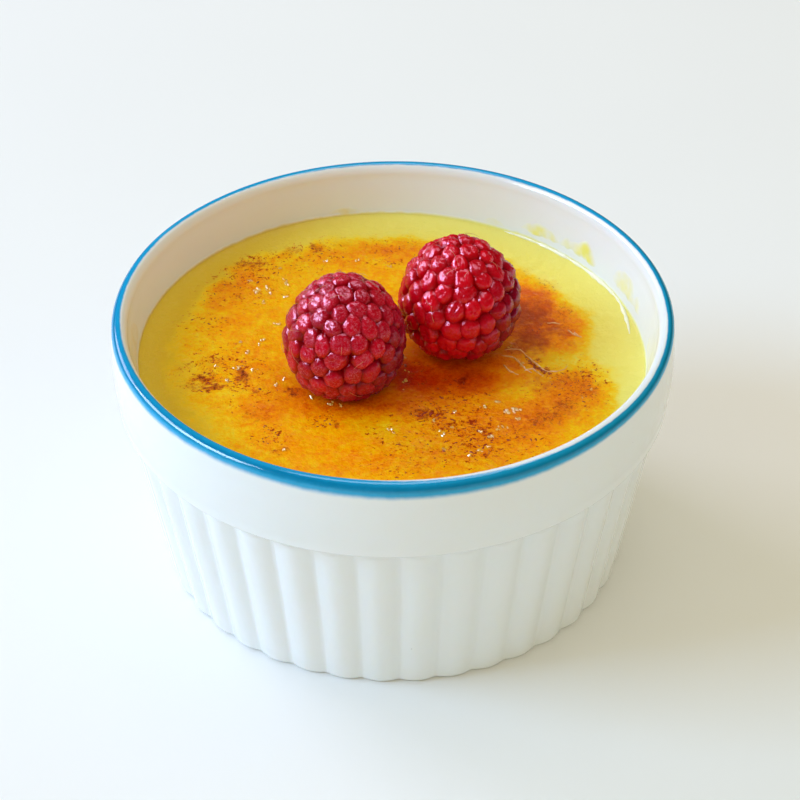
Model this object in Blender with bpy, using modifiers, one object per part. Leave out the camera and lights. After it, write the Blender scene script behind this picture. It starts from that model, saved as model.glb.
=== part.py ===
"""Creme brulee in its fluted porcelain ramekin, with two raspberries on top.

Metres, +Z up. The origin is at the middle of the foot, on the surface that the dish stands on.
Four pieces: the ramekin, the custard that fills it, and the two raspberries.
"""
import bpy
import bmesh
from math import pi, sin, cos, tau, radians, hypot, atan2, sqrt
from random import Random
from mathutils import Matrix, Vector

MM = 0.001

# Ramekin
RIM_RADIUS = 46.1 * MM            # outside of the lip
HEIGHT = 46.9 * MM                # table to the top of the lip
LIP_THICKNESS = 2.9 * MM
BAND_BELLY = 0.4 * MM             # how far the plain band swells beyond the lip
BAND_BOTTOM_Z = 32.3 * MM         # lower edge of the plain band
BAND_STEP = 1.0 * MM              # the band stands this far proud of the flutes
FLUTES = 40
SEGMENTS_PER_FLUTE = 3
FLUTE_TOP_RADIUS = 44.7 * MM      # crests of the flutes, under the band
FLUTE_BASE_RADIUS = 39.1 * MM     # crests of the flutes, at the base
GROOVE_TOP = 0.85 * MM            # groove depth under the band
GROOVE_BASE = 0.6 * MM            # groove depth at the base
BASE_ROUNDING = 0.8 * MM
FLUTE_PHASE = radians(1.2)        # turns the groove nearest the front a little to the right
FOOT_WIDTH = 4.6 * MM
FOOT_HEIGHT = 1.2 * MM
FLOOR_Z = 5.0 * MM                # inside of the bottom
HEEL_Z = 10.0 * MM                # where the inner wall begins
HEEL_RADIUS = 36.4 * MM
WALL_TOP_Z = 44.8 * MM            # where the inner wall ends and the lip's shoulder begins
FILL_RADIUS = 41.9 * MM           # inner wall at the custard's level

# Custard
CLEARANCE = 0.3 * MM              # between neighbouring pieces
LEVEL = 37.3 * MM                 # top of the custard, in the middle
LEVEL_SLOPE = 0.018               # it has set a little lower on the right
MENISCUS = 0.7 * MM               # how far its edge climbs the wall
RIPPLE = 0.12 * MM                # unevenness of the skin
CUSTARD_SEGMENTS = 60

# Raspberries
DRUPELETS = 120
DRUPELET_RELIEF = 0.075           # height of a drupelet, as a part of the berry's radius
HOLLOW_CUT = 0.77                 # the open end on which a berry stands, as a part of its half height
GOLDEN_ANGLE = pi * (3 - sqrt(5))

BERRIES = (
    # name, x and y of its middle seen from above, width, height, lean towards, lean, seed
    ("raspberry_left", -7.85 * MM, -6.3 * MM, 20.8 * MM, 19.0 * MM, radians(20), radians(4), 11),
    ("raspberry_right", 11.05 * MM, 4.2 * MM, 21.3 * MM, 18.6 * MM, radians(150), radians(10), 23),
)

PORCELAIN = ("porcelain", (0.86, 0.88, 0.87), 0.18)
CUSTARD = ("custard", (0.85, 0.52, 0.04), 0.35)
RASPBERRY = ("raspberry", (0.50, 0.01, 0.03), 0.3)


def clear_scene():
    for obj in list(bpy.data.objects):
        bpy.data.objects.remove(obj, do_unlink=True)


def make_material(name, colour, roughness):
    material = bpy.data.materials.new(name)
    material.use_nodes = True
    shader = material.node_tree.nodes["Principled BSDF"]
    shader.inputs["Base Color"].default_value = (*colour, 1)
    shader.inputs["Roughness"].default_value = roughness
    shader.inputs["Metallic"].default_value = 0
    return material


def add_object(name, mesh, material, collection):
    obj = bpy.data.objects.new(name, mesh)
    collection.objects.link(obj)
    mesh.materials.clear()
    mesh.materials.append(material)
    mesh.shade_smooth()
    mesh.set_sharp_from_angle(angle=radians(35))
    return obj


def turn(profile, steps):
    """Mesh of a profile of (radius, height) points turned round Z.

    The profile starts and ends on the axis and runs down its outer side.
    """
    wire = bpy.data.meshes.new("profile")
    wire.from_pydata([(r, 0, z) for r, z in profile], [(i, i + 1) for i in range(len(profile) - 1)], [])
    obj = bpy.data.objects.new("profile", wire)
    bpy.context.scene.collection.objects.link(obj)
    screw = obj.modifiers.new("turn", "SCREW")
    screw.axis = "Z"
    screw.steps = screw.render_steps = steps
    screw.use_merge_vertices = True
    screw.merge_threshold = 0.01 * MM
    depsgraph = bpy.context.evaluated_depsgraph_get()
    mesh = bpy.data.meshes.new_from_object(obj.evaluated_get(depsgraph))
    bpy.data.objects.remove(obj, do_unlink=True)
    bpy.data.meshes.remove(wire)
    return mesh


def wall_radius(z):
    """Radius of the inner wall between its heel and its top."""
    return HEEL_RADIUS + (FILL_RADIUS - HEEL_RADIUS) * (z - HEEL_Z) / (LEVEL - HEEL_Z)


def heel_points(gap):
    """Inside of the bottom, from the axis out to the heel, drawn in by a gap."""
    return [
        (0, FLOOR_Z + gap),
        (HEEL_RADIUS - 5.9 * MM, FLOOR_Z + gap),
        (HEEL_RADIUS - 1.8 * MM - gap * 0.7, FLOOR_Z + 1.5 * MM + gap * 0.7),
        (HEEL_RADIUS - gap, HEEL_Z),
    ]


def lip_points():
    """The rounded lip, from the inner shoulder over the top to the outside."""
    inner = RIM_RADIUS - LIP_THICKNESS
    crown = RIM_RADIUS - 1.3 * MM
    round_out = [
        (crown + 1.3 * MM * sin(a), HEIGHT - 1.3 * MM + 1.3 * MM * cos(a))
        for a in (0, radians(33), radians(66), radians(90))
    ]
    shoulder = [(wall_radius(WALL_TOP_Z), WALL_TOP_Z), (inner + 0.3 * MM, HEIGHT - 0.8 * MM)]
    return shoulder + [(inner + 0.9 * MM, HEIGHT - 0.15 * MM)] + round_out


def ramekin_profile():
    band = [
        (RIM_RADIUS + BAND_BELLY, (HEIGHT + BAND_BOTTOM_Z) / 2),
        (FLUTE_TOP_RADIUS + BAND_STEP + 0.3 * MM, BAND_BOTTOM_Z + 0.9 * MM),
        (FLUTE_TOP_RADIUS + BAND_STEP, BAND_BOTTOM_Z + 0.15 * MM),
    ]
    flutes = [
        (FLUTE_TOP_RADIUS, BAND_BOTTOM_Z - 0.15 * MM),
        (FLUTE_BASE_RADIUS, BASE_ROUNDING),
        (FLUTE_BASE_RADIUS - BASE_ROUNDING, 0),
    ]
    foot_inner = FLUTE_BASE_RADIUS - BASE_ROUNDING - FOOT_WIDTH
    foot = [(foot_inner, 0), (foot_inner - 0.8 * MM, FOOT_HEIGHT), (0, FOOT_HEIGHT)]
    return heel_points(0) + lip_points() + band + flutes + foot


def groove_depth(z, angle):
    """Depth of the grooves at a height and an angle: nothing on a crest, most in a groove."""
    depth = GROOVE_BASE + (GROOVE_TOP - GROOVE_BASE) * z / BAND_BOTTOM_Z
    return depth * (1 - abs(sin(FLUTES * (angle - FLUTE_PHASE) / 2)))


def cut_flutes(mesh):
    """Draws the outside in along the grooves, from under the band down to the foot."""
    outside = FLUTE_BASE_RADIUS - BASE_ROUNDING - 0.1 * MM
    for vertex in mesh.vertices:
        x, y, z = vertex.co
        r = hypot(x, y)
        is_inner_wall = z > FLOOR_Z and r < wall_radius(z) + 0.5 * MM
        if z < BAND_BOTTOM_Z and r > outside and not is_inner_wall:
            depth = groove_depth(z, atan2(y, x))
            vertex.co.x *= 1 - depth / r
            vertex.co.y *= 1 - depth / r


def make_ramekin(material, collection):
    mesh = turn(ramekin_profile(), FLUTES * SEGMENTS_PER_FLUTE)
    mesh.name = "ramekin"
    mesh.transform(Matrix.Rotation(FLUTE_PHASE, 4, "Z"))
    cut_flutes(mesh)
    return add_object("ramekin", mesh, material, collection)


def custard_profile():
    edge = wall_radius(LEVEL) - CLEARANCE
    top = [
        (0, LEVEL),
        (12 * MM, LEVEL),
        (24 * MM, LEVEL),
        (34 * MM, LEVEL),
        (edge - 1.6 * MM, LEVEL),
        (edge - 0.6 * MM, LEVEL + MENISCUS * 0.35),
        (edge, LEVEL + MENISCUS),
    ]
    return top + list(reversed(heel_points(CLEARANCE)))


def custard_level(x):
    return LEVEL - LEVEL_SLOPE * x


def skin_ripple(x, y):
    """Low swells of the browned skin."""
    return RIPPLE * (sin(x / (4.1 * MM) + 0.6) * cos(y / (5.3 * MM)) + 0.5 * sin((x + y) / (2.9 * MM)))


def make_custard(material, collection):
    mesh = turn(custard_profile(), CUSTARD_SEGMENTS)
    mesh.name = "custard"
    for vertex in mesh.vertices:
        x, y, z = vertex.co
        if z < LEVEL - 0.01 * MM:
            continue
        ripple = skin_ripple(x, y) if z < LEVEL + 0.01 * MM else 0
        vertex.co.z += custard_level(x) - LEVEL + ripple
        reach = wall_radius(vertex.co.z) - CLEARANCE
        if hypot(x, y) > wall_radius(LEVEL) - CLEARANCE - 0.01 * MM:
            vertex.co.x *= reach / hypot(x, y)
            vertex.co.y *= reach / hypot(x, y)
    return add_object("custard", mesh, material, collection)


def drupelet_centres(seed):
    """Unit vectors to the middle of each drupelet, on the spiral that a raspberry grows along."""
    rng = Random(seed)
    centres = []
    for i in range(DRUPELETS):
        z = 1 - 2 * (i + 0.5) / DRUPELETS + rng.uniform(-0.012, 0.012)
        z = max(-1, min(1, z))
        angle = GOLDEN_ANGLE * i + rng.uniform(-0.06, 0.06)
        ring = sqrt(1 - z * z)
        centres.append(Vector((ring * cos(angle), ring * sin(angle), z)))
    return centres


def drupelet_cells(centres):
    """A sphere divided into one face for each drupelet, its corners where three drupelets meet."""
    hull = bmesh.new()
    for centre in centres:
        hull.verts.new(centre)
    bmesh.ops.convex_hull(hull, input=hull.verts)
    bmesh.ops.recalc_face_normals(hull, faces=hull.faces)
    cells = bmesh.new()
    corner = {face: cells.verts.new(face.calc_center_median().normalized()) for face in hull.faces}
    for vert in hull.verts:
        loop = first = vert.link_loops[0]
        ring = []
        while not ring or loop is not first:
            ring.append(corner[loop.face])
            loop = loop.link_loop_prev.link_loop_radial_next
        cells.faces.new(ring)
    hull.free()
    bmesh.ops.recalc_face_normals(cells, faces=cells.faces)
    return cells


def swell_drupelets(cells):
    """Raises each cell into a knob with a shoulder and a rounded tip."""
    shoulder = DRUPELET_RELIEF * 0.75
    tip = DRUPELET_RELIEF * 0.25
    tops = [face for face in cells.faces if face.calc_center_median().z > -HOLLOW_CUT]
    bmesh.ops.inset_individual(cells, faces=tops, thickness=0.062, depth=shoulder, use_even_offset=True)
    bmesh.ops.poke(cells, faces=tops, offset=tip)
    bmesh.ops.triangulate(cells, faces=cells.faces)


def shape_berry(mesh, width, height):
    """Gives the knobbly sphere the berry's size, its blunt tip and its flat, hollow end."""
    half_width = width / 2 / (1 + DRUPELET_RELIEF)
    half_height = height / (1 + DRUPELET_RELIEF + HOLLOW_CUT)
    for vertex in mesh.vertices:
        x, y, z = vertex.co
        z = max(z, -HOLLOW_CUT)
        taper = 1 - 0.06 * z
        vertex.co = (x * half_width * taper, y * half_width * taper, (z + HOLLOW_CUT) * half_height)


def make_raspberry(berry, material, collection):
    name, x, y, width, height, towards, lean, seed = berry
    cells = drupelet_cells(drupelet_centres(seed))
    swell_drupelets(cells)
    mesh = bpy.data.meshes.new(name)
    cells.to_mesh(mesh)
    cells.free()
    shape_berry(mesh, width, height)
    tilt = Matrix.Rotation(lean, 4, Vector((-sin(towards), cos(towards), 0)))
    mesh.transform(tilt)
    xs, ys, zs = zip(*(vertex.co for vertex in mesh.vertices))
    base_z = custard_level(x - width / 2) + 1.5 * RIPPLE + CLEARANCE
    mesh.transform(Matrix.Translation((x - (min(xs) + max(xs)) / 2, y - (min(ys) + max(ys)) / 2, base_z - min(zs))))
    return add_object(name, mesh, material, collection)


def main():
    clear_scene()
    collection = bpy.data.collections.new("creme_brulee")
    bpy.context.scene.collection.children.link(collection)
    make_ramekin(make_material(*PORCELAIN), collection)
    make_custard(make_material(*CUSTARD), collection)
    raspberry = make_material(*RASPBERRY)
    for berry in BERRIES:
        make_raspberry(berry, raspberry, collection)


main()
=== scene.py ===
"""Looks of a creme brulee in its fluted ramekin, with two raspberries on top.

Lengths are in millimetres; MM turns them into metres where a mesh or an object is made.
+Z is up, and the view from the front looks along +Y.
"""

from math import cos, exp, pi, radians, sin, sqrt, tau
from random import Random

import bpy
import bmesh
import numpy as np
from mathutils import Euler, Matrix, Vector, noise


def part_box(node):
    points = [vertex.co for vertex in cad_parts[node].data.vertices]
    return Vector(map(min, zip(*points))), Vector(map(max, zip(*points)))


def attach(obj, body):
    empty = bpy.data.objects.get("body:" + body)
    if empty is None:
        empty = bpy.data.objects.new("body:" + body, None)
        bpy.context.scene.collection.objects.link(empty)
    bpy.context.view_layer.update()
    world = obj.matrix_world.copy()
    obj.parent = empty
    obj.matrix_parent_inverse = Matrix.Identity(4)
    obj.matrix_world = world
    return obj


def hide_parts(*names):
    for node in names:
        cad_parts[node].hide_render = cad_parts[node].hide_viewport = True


MM = 0.001
GOLDEN_ANGLE = pi * (3 - sqrt(5))

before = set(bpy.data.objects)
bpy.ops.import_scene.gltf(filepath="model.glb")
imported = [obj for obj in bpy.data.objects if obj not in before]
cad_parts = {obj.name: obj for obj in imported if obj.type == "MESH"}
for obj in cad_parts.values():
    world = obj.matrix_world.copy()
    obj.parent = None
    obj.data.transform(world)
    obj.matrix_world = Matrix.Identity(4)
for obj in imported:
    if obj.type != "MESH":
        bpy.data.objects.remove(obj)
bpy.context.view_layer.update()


def box_mm(node):
    low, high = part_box(node)
    return low / MM, high / MM


# Ramekin, measured on the frame
DISH_HIGH = box_mm("ramekin")[1]
RIM_Z = DISH_HIGH.z
BAND_BELLY = 0.4
RIM_RADIUS = DISH_HIGH.x - BAND_BELLY
LIP_ROUNDING = 1.3
CROWN_RADIUS = RIM_RADIUS - LIP_ROUNDING  # the highest line of the lip
BAND_BOTTOM_Z = 32.3
BAND_BOTTOM_RADIUS = 45.7
FLUTES = 40
FLUTE_PHASE = radians(1.2)
FLUTE_TOP_RADIUS = 44.7
FLUTE_BASE_RADIUS = 39.1
GROOVE_TOP = 0.95
GROOVE_BASE = 0.65
BASE_ROUNDING = 0.8
GROOVE_SOFTNESS = 0.004  # how far the bottom of a groove is rounded
POINTS_PER_FLUTE = 14
FOOT_WIDTH = 4.6
FOOT_HEIGHT = 1.2
FLOOR_Z = 5.0
HEEL_Z = 10.0
HEEL_RADIUS = 36.4
WALL_SLOPE = 5.5 / 27.3  # how fast the inner wall opens outwards

# Custard
LEVEL = 37.3
LEVEL_SLOPE = 0.018  # it has set a little lower on the right
SKIN_RADIUS = 42
MENISCUS = 0.75
MENISCUS_REACH = 0.8

# Camera, looking down at a point just below the middle of the rim
CAMERA_ELEVATION = radians(37.34)
CAMERA_DISTANCE = 450
CAMERA_RIGHT = 1.12
CAMERA_UP = -14.86
CAMERA_ROLL = radians(-0.2)
CAMERA_LENS = 123.6
CAMERA_SENSOR = 36


# ---- mesh helpers

def add_object(name, data):
    obj = bpy.data.objects.new(name, data)
    bpy.context.scene.collection.objects.link(obj)
    return obj


def mesh_object(name, points, faces, material, attributes=None):
    """Smooth-shaded object from points in millimetres, with named values on its points."""
    mesh = bpy.data.meshes.new(name)
    mesh.from_pydata((np.asarray(points, float) * MM).tolist(), [], faces)
    mesh.update()
    mesh.shade_smooth()
    for key, values in (attributes or {}).items():
        layer = mesh.attributes.new(key, "FLOAT", "POINT")
        layer.data.foreach_set("value", np.asarray(values, np.float32))
    mesh.materials.append(material)
    return add_object(name, mesh)


def smoothstep(low, high, value):
    t = np.clip((value - low) / (high - low), 0, 1)
    return t * t * (3 - 2 * t)


def field(points, scale, seed=0, octaves=3):
    """Smooth noise between about -1 and 1 at points in millimetres; scale is its grain's size."""
    shift = Vector((seed * 17.3, seed * -9.1, seed * 5.7))
    return np.array([
        noise.fractal(Vector(p) / scale + shift, 1.0, 2.0, octaves) for p in np.asarray(points).tolist()
    ])


def ring_quads(first, second, count):
    """Quads between two closed rings of points that start at these numbers."""
    return [(first + j, second + j, second + (j + 1) % count, first + (j + 1) % count) for j in range(count)]


def turned_faces(rings, count):
    """Quads between rings of a turned shape, closed by a fan at each pole."""
    faces = []
    for i in range(rings - 1):
        faces += ring_quads(i * count, (i + 1) * count, count)
    first_pole, last_pole = rings * count, rings * count + 1
    last = (rings - 1) * count
    for j in range(count):
        k = (j + 1) % count
        faces.append((first_pole, j, k))
        faces.append((last_pole, last + k, last + j))
    return faces


def arc(centre_r, centre_z, radius_r, radius_z, start, stop, steps):
    """Points of an ellipse's arc; 0 degrees is its top and 90 degrees its outer side."""
    angles = np.radians(np.linspace(start, stop, steps))
    return [(centre_r + radius_r * sin(a), centre_z + radius_z * cos(a)) for a in angles]


def line(start, stop, steps):
    """Points from start to stop, without stop itself."""
    return [tuple(np.array(start) + (np.array(stop) - np.array(start)) * i / steps) for i in range(steps)]


def around(radius, angle, z):
    """Points at a radius, an angle and a height."""
    return np.stack(np.broadcast_arrays(radius * np.cos(angle), radius * np.sin(angle), z), axis=-1)


def ball_mesh(create, **size):
    """Points and sorted faces of a ball that one of bmesh's functions makes."""
    ball = bmesh.new()
    create(ball, **size)
    points = np.array([v.co for v in ball.verts])
    faces = sorted(tuple(v.index for v in face.verts) for face in ball.faces)
    ball.free()
    return points, faces


class Tubes:
    """Thin round threads gathered into one mesh."""

    def __init__(self, sides):
        self.sides = sides
        self.points = []
        self.faces = []

    def add(self, path, radii, flatten=1.0):
        """A thread along path, closed at both ends; flatten squeezes it along its up direction."""
        path = [Vector(p) for p in path]
        base = len(self.points)
        n = self.sides
        for i, (p, radius) in enumerate(zip(path, radii)):
            along = (path[min(i + 1, len(path) - 1)] - path[max(i - 1, 0)]).normalized()
            side = along.cross(Vector((0, 0, 1)))
            side = side.normalized() if side.length > 1e-4 else Vector((1, 0, 0))
            up = side.cross(along)
            for j in range(n):
                a = tau * j / n
                self.points.append(p + side * radius * cos(a) + up * radius * flatten * sin(a))
        for i in range(len(path) - 1):
            self.faces += ring_quads(base + i * n, base + (i + 1) * n, n)
        self.faces.append(tuple(base + j for j in range(n)))
        self.faces.append(tuple(base + (len(path) - 1) * n + n - 1 - j for j in range(n)))

    def make(self, name, material):
        return mesh_object(name, [tuple(p) for p in self.points], self.faces, material)


# ---- material helpers

def srgb(colour):
    """Linear colour of an 8-bit screen colour."""
    def linear(value):
        value /= 255
        return value / 12.92 if value <= 0.04045 else ((value + 0.055) / 1.055) ** 2.4
    return (*(linear(value) for value in colour), 1)


class Nodes:
    """Short ways to build a material's nodes round one Principled shader."""

    def __init__(self, name):
        self.material = bpy.data.materials.new(name)
        self.material.use_nodes = True
        self.tree = self.material.node_tree
        self.shader = self.tree.nodes["Principled BSDF"]
        self.place = self.new("TexCoord").outputs["Object"]

    def link(self, value, socket):
        if isinstance(value, bpy.types.NodeSocket):
            self.tree.links.new(value, socket)
        else:
            socket.default_value = value

    def fill(self, node, values):
        for key, value in values.items():
            self.link(value, node.inputs[key.replace("_", " ")])
        return node

    def set(self, **values):
        self.fill(self.shader, values)

    def new(self, kind, **values):
        """A new node, its sockets set or linked by name."""
        return self.fill(self.tree.nodes.new("ShaderNode" + kind), values)

    def math(self, operation, a, b, clamp=False):
        node = self.new("Math")
        node.operation = operation
        node.use_clamp = clamp
        self.link(a, node.inputs[0])
        self.link(b, node.inputs[1])
        return node.outputs[0]

    def add(self, a, b):
        return self.math("ADD", a, b)

    def times(self, a, b):
        return self.math("MULTIPLY", a, b)

    def swing(self, value, width):
        """A value round 0.5 brought to swing round 0, width times as far."""
        return self.times(self.math("SUBTRACT", value, 0.5), width)

    def attribute(self, name):
        node = self.new("Attribute")
        node.attribute_name = name
        return node.outputs["Fac"]

    def noise(self, size, detail=3, roughness=0.5, warp=0, offset=0):
        """Noise whose grain is about size millimetres."""
        node = self.new("TexNoise", Vector=self.moved(offset), Scale=1 / (size * MM))
        self.fill(node, {"Detail": detail, "Roughness": roughness, "Distortion": warp})
        return node.outputs["Fac"]

    def cells(self, size):
        """Distance to scattered points about size millimetres apart, in parts of size."""
        return self.new("TexVoronoi", Scale=1 / (size * MM), Vector=self.place).outputs["Distance"]

    def moved(self, offset):
        if not offset:
            return self.place
        node = self.new("VectorMath")
        node.operation = "ADD"
        self.link(self.place, node.inputs[0])
        node.inputs[1].default_value = (offset, offset * 0.7, -offset)
        return node.outputs[0]

    def step(self, value, low, high, most=1):
        """0 below low, most above high, smooth between them; also falling where low is above high."""
        node = self.new("MapRange", Value=value, From_Min=min(low, high), From_Max=max(low, high))
        self.fill(node, {"To_Min": most * (low > high), "To_Max": most * (low < high)})
        node.interpolation_type = "SMOOTHSTEP"
        return node.outputs["Result"]

    def mix(self, factor, a, b, blend="MIX"):
        """Two colours mixed, each a socket or an 8-bit screen colour."""
        node = self.new("Mix")
        node.data_type = "RGBA"
        node.blend_type = blend
        self.link(factor, node.inputs[0])
        for colour, socket in ((a, node.inputs[6]), (b, node.inputs[7])):
            self.link(srgb(colour) if isinstance(colour, tuple) else colour, socket)
        return node.outputs[2]

    def ramp(self, value, *stops):
        node = self.new("ValToRGB", Fac=value)
        elements = node.color_ramp.elements
        while len(elements) < len(stops):
            elements.new(0.5)
        for element, (position, colour) in zip(elements, stops):
            element.position = position
            element.color = srgb(colour)
        return node.outputs["Color"]

    def position(self, axis):
        """Coordinate along X, Y or Z, in millimetres."""
        return self.math("DIVIDE", self.new("SeparateXYZ", Vector=self.place).outputs[axis], MM)

    def roughness(self, size, detail, spread, least, fineness=0.5, offset=0):
        """Roughness from least upwards, uneven over patches of size millimetres."""
        return self.add(self.times(self.noise(size, detail, fineness, offset=offset), spread), least)

    def bump(self, *layers):
        """Bumps from (height, depth in millimetres) pairs, one on top of another."""
        normal = None
        for height, depth in layers:
            node = self.new("Bump", Strength=1, Distance=depth * MM, Height=height)
            if normal is not None:
                self.link(normal, node.inputs["Normal"])
            normal = node.outputs["Normal"]
        self.link(normal, self.shader.inputs["Normal"])


# ---- materials

GLAZE_WHITE = (239, 242, 242)


def glaze(m, colour, matt=0):
    """The gloss that the ramekin and the smears on its wall share; matt is added where it wears off."""
    m.set(Base_Color=colour, Roughness=m.add(m.roughness(5, 3, 0.06, 0.08), matt))
    m.set(IOR=1.5, Specular_IOR_Level=0.36, Subsurface_Weight=0.06, Subsurface_Scale=0.0015)


def porcelain_material():
    """White glazed porcelain with a blue line painted over the lip."""
    m = Nodes("porcelain")
    streak = m.noise(0.9, 3, warp=0.3, offset=0.02)
    pool = m.noise(5, 3, offset=0.06)
    waver = m.add(m.swing(m.noise(2.2, 3), 0.1), m.swing(streak, 0.05))
    across = m.add(m.attribute("across"), waver)
    painted = m.times(m.step(across, -0.05, 0.1), m.step(across, 1.17, 0.83))
    white = m.mix(m.noise(16, 2), GLAZE_WHITE, (236, 241, 242))
    white = m.mix(m.step(m.cells(9), 0.016, 0.008, 0.55), white, (120, 112, 100))
    blue = m.mix(streak, (12, 146, 196), (32, 164, 216))
    core = m.times(m.step(across, 0.2, 0.5), m.step(across, 0.84, 0.6))
    blue = m.mix(m.times(core, m.add(m.times(pool, 0.5), 0.5)), blue, (0, 116, 160))
    thin = m.times(m.step(across, 0.45, 0.95), m.add(m.times(pool, 0.4), 0.45))
    blue = m.mix(thin, blue, (56, 176, 222))
    glaze(m, m.mix(painted, white, blue), matt=m.step(m.position("Z"), 0.12, 0.02, 0.5))
    m.bump((m.noise(6, 2), 0.06), (m.noise(0.8, 2), 0.004))
    return m.material


def smear_material():
    """Raw custard wiped thin over the glaze, golden on the left partly as painted shade and golden bounce
    light of the left wall.
    """
    m = Nodes("smeared_custard")
    thick = m.add(m.attribute("thick"), m.swing(m.noise(1.2, 4, 0.6), 0.16))
    # Golden towards the left: partly the custard's colour, partly painted shade and golden bounce light on
    # the left wall
    yellow = m.mix(m.step(m.position("X"), -34, 20), (226, 194, 62), (242, 236, 122))
    glaze(m, m.mix(m.step(thick, 0, 0.9), GLAZE_WHITE, yellow))
    m.bump((m.noise(6, 2), 0.06), (m.noise(1, 3), 0.03))
    return m.material


def custard_material():
    """Custard, lemon on the right and golden on the left, browned to amber with burnt flecks; the golden
    left is partly painted shade, and painted light pales it by the wall.
    """
    m = Nodes("custard")
    across = m.position("X")
    toast, scorch, burnt = m.attribute("toast"), m.attribute("scorch"), m.attribute("burnt")
    mottle = m.noise(1.7, 4, 0.65, warp=0.4, offset=0.04)

    # Raw custard, golden on the left partly as painted shade from the left wall, paler towards the wall as
    # painted light bounced off the glaze, and browned custard
    raw = m.mix(m.step(across, -34, 12), (230, 191, 42), (243, 226, 104))
    pale = m.mix(m.step(across, -30, 16), (240, 212, 80), (244, 232, 124))
    raw = m.mix(m.times(m.attribute("painted_wall_light"), 0.6), raw, pale)
    uneven = m.add(m.swing(m.noise(0.55, 5, 0.7), 0.8), m.swing(mottle, 0.7))
    uneven = m.add(uneven, m.swing(m.noise(4.5, 4, 0.6, warp=0.5, offset=0.011), 0.45))
    uneven = m.times(uneven, m.step(toast, 0.05, 0.4))
    baked = m.ramp(
        m.math("ADD", toast, uneven, clamp=True),
        (0.14, (246, 210, 44)),
        (0.34, (248, 194, 12)),
        (0.52, (249, 170, 0)),
        (0.72, (246, 142, 0)),
        (1, (220, 90, 0)),
    )
    colour = m.mix(m.step(m.add(toast, uneven), 0.02, 0.26), raw, baked)

    # Scorched flecks in a brown halo
    colour = m.mix(m.step(scorch, 0.1, 0.8, 0.5), colour, (220, 104, 4))
    cover = m.add(m.times(scorch, 0.5), m.times(m.noise(0.62, 5, 0.75, warp=0.3, offset=0.09), 1.25))
    colour = m.mix(m.step(cover, 0.84, 0.98, 0.75), colour, (176, 76, 16))
    colour = m.mix(m.step(cover, 1, 1.12, 0.85), colour, (96, 30, 12))

    # Clear burnt sugar, and round the berries' feet partly their juice, partly painted shade and red bounce
    # light
    veil = m.step(m.add(burnt, m.swing(mottle, 0.8)), 0.15, 0.95)
    veil = m.times(veil, m.step(burnt, 0.04, 0.25))
    colour = m.mix(m.times(veil, 0.85), colour, (158, 62, 28))
    colour = m.mix(m.attribute("juice_and_shade"), colour, (206, 52, 0), "MULTIPLY")

    # Fine dots that gather where the skin is speckled
    specks = m.attribute("specks")
    gathered = m.swing(m.noise(2.4, 3, 0.6, offset=0.08), 0.35)
    dots = m.add(m.noise(0.6, 4, 0.7, warp=0.4, offset=0.05), gathered)
    dots = m.add(dots, m.times(specks, 0.12))
    speckled = m.step(specks, 0.02, 0.3)
    ruddy = m.times(m.step(dots, 0.615, 0.69, 0.85), speckled)
    colour = m.mix(ruddy, colour, (222, 88, 0))
    dark = m.times(m.step(dots, 0.68, 0.725), speckled)
    colour = m.mix(m.times(dark, 0.85), colour, (150, 38, 0))

    m.set(Base_Color=colour, Roughness=m.roughness(3.2, 3, 0.2, 0.16, fineness=0.6, offset=0.07))
    m.set(IOR=1.4, Specular_IOR_Level=0.12)
    m.set(Subsurface_Weight=0.15, Subsurface_Scale=0.0008, Subsurface_Radius=(1, 0.7, 0.2))
    m.bump((m.noise(2.4, 4, 0.6), 0.18), (m.noise(0.6, 3, 0.6), 0.09), (dark, -0.05))
    return m.material


def raspberry_material(name, clear, dust_and_sheen):
    """Crimson drupelets, clear from dark and downy to bright and wet; the last argument is how pale their
    tops are, partly with a pale down and partly with painted sheen.
    """
    m = Nodes(name)
    swell = m.attribute("swell")
    mottled = m.add(m.times(m.noise(1.4, 4, 0.6), 0.5), m.times(m.attribute("ripe"), 0.5))
    dull = m.mix(clear, (140, 0, 26), (186, 0, 20))
    body = m.mix(mottled, dull, m.mix(clear, (222, 0, 38), (234, 0, 26)))
    # Darker red low on each drupelet, in the creases between them: painted shade
    groove = m.mix(clear, (140, 0, 6), (168, 0, 4))
    colour = m.mix(m.step(swell, 0.4, 0.85), groove, body)
    # Pale pink tops: partly a pale down, partly painted sheen
    down_and_sheen = m.times(m.step(m.noise(0.4, 4, 0.7, warp=0.8), 0.46, 0.66), m.step(swell, 0.55, 0.95))
    colour = m.mix(m.times(down_and_sheen, dust_and_sheen), colour, (224, 116, 142))
    colour = m.mix(m.times(m.attribute("shade"), 0.8), colour, (96, 0, 34))
    m.set(Base_Color=colour, Roughness=m.roughness(0.9, 3, 0.2, 0.06))
    m.set(IOR=1.5, Specular_IOR_Level=0.7, Specular_Tint=(1, 0.55, 0.74, 1))
    m.set(Sheen_Weight=0.22 * (1 - 0.75 * clear), Sheen_Roughness=0.2, Sheen_Tint=(1, 0.32, 0.42, 1))
    m.set(Subsurface_Weight=0.3, Subsurface_Scale=0.0007, Subsurface_Radius=(1, 0.05, 0.08))
    m.bump((m.noise(0.8, 3, 0.6), 0.12), (m.noise(0.3, 2, 0.6), 0.03))
    return m.material


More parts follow.
